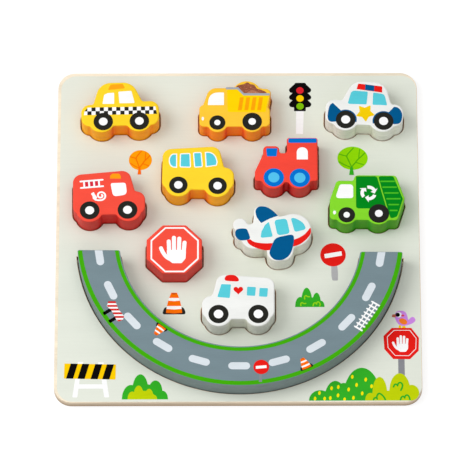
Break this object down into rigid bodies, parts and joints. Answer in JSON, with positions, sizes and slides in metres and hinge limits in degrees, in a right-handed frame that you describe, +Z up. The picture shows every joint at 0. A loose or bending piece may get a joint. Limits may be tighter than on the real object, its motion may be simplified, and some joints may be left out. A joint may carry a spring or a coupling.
{
  "type": "wooden stacking puzzle",
  "caption": "Square wooden tray puzzle whose thick vehicle, sign and curved road blocks lift out of matching pockets to stand, stack and balance.",
  "frame": {"origin": "middle of the board's underside", "axes": "+X to the right of the picture on the tray, +Y towards its top edge, +Z up out of the tray"},
  "size_m": [0.3, 0.3, 0.025],
  "materials": {
    "birch": "bare sanded plywood",
    "tray_face": "satin printed plywood with bare edges",
    "yellow": "satin print on stained wood",
    "amber": "satin print on stained wood",
    "white": "satin print on stained wood",
    "red": "satin print on stained wood",
    "green": "satin print on stained wood",
    "road_grey": "satin print on stained wood"
  },
  "bodies": {
    "board": {"backing_board": "birch", "tray_panel": "tray_face"},
    "taxi": {"taxi": "yellow"},
    "dump_truck": {"dump_truck": "amber"},
    "police_car": {"police_car": "white"},
    "fire_engine": {"fire_engine": "red"},
    "school_bus": {"school_bus": "yellow"},
    "steam_train": {"steam_train": "red"},
    "recycling_truck": {"recycling_truck": "green"},
    "stop_sign": {"stop_sign": "red"},
    "airplane": {"airplane": "white"},
    "ambulance": {"ambulance": "white"},
    "road_arch": {"road_arch": "road_grey"}
  },
  "joints": [
    {"name": "taxi_lift", "type": "slide", "parent": "board", "child": "taxi", "axis": [0, 0, 1], "range_m": [0, 0.04]},
    {"name": "dump_truck_lift", "type": "slide", "parent": "board", "child": "dump_truck", "axis": [0, 0, 1], "range_m": [0, 0.04]},
    {"name": "police_car_lift", "type": "slide", "parent": "board", "child": "police_car", "axis": [0, 0, 1], "range_m": [0, 0.04]},
    {"name": "fire_engine_lift", "type": "slide", "parent": "board", "child": "fire_engine", "axis": [0, 0, 1], "range_m": [0, 0.04]},
    {"name": "school_bus_lift", "type": "slide", "parent": "board", "child": "school_bus", "axis": [0, 0, 1], "range_m": [0, 0.04]},
    {"name": "steam_train_lift", "type": "slide", "parent": "board", "child": "steam_train", "axis": [0, 0, 1], "range_m": [0, 0.04]},
    {"name": "recycling_truck_lift", "type": "slide", "parent": "board", "child": "recycling_truck", "axis": [0, 0, 1], "range_m": [0, 0.04]},
    {"name": "stop_sign_lift", "type": "slide", "parent": "board", "child": "stop_sign", "axis": [0, 0, 1], "range_m": [0, 0.04]},
    {"name": "airplane_lift", "type": "slide", "parent": "board", "child": "airplane", "axis": [0, 0, 1], "range_m": [0, 0.04]},
    {"name": "ambulance_lift", "type": "slide", "parent": "board", "child": "ambulance", "axis": [0, 0, 1], "range_m": [0, 0.04]},
    {"name": "road_arch_lift", "type": "slide", "parent": "board", "child": "road_arch", "axis": [0, 0, 1], "range_m": [0, 0.04]}
  ]
}
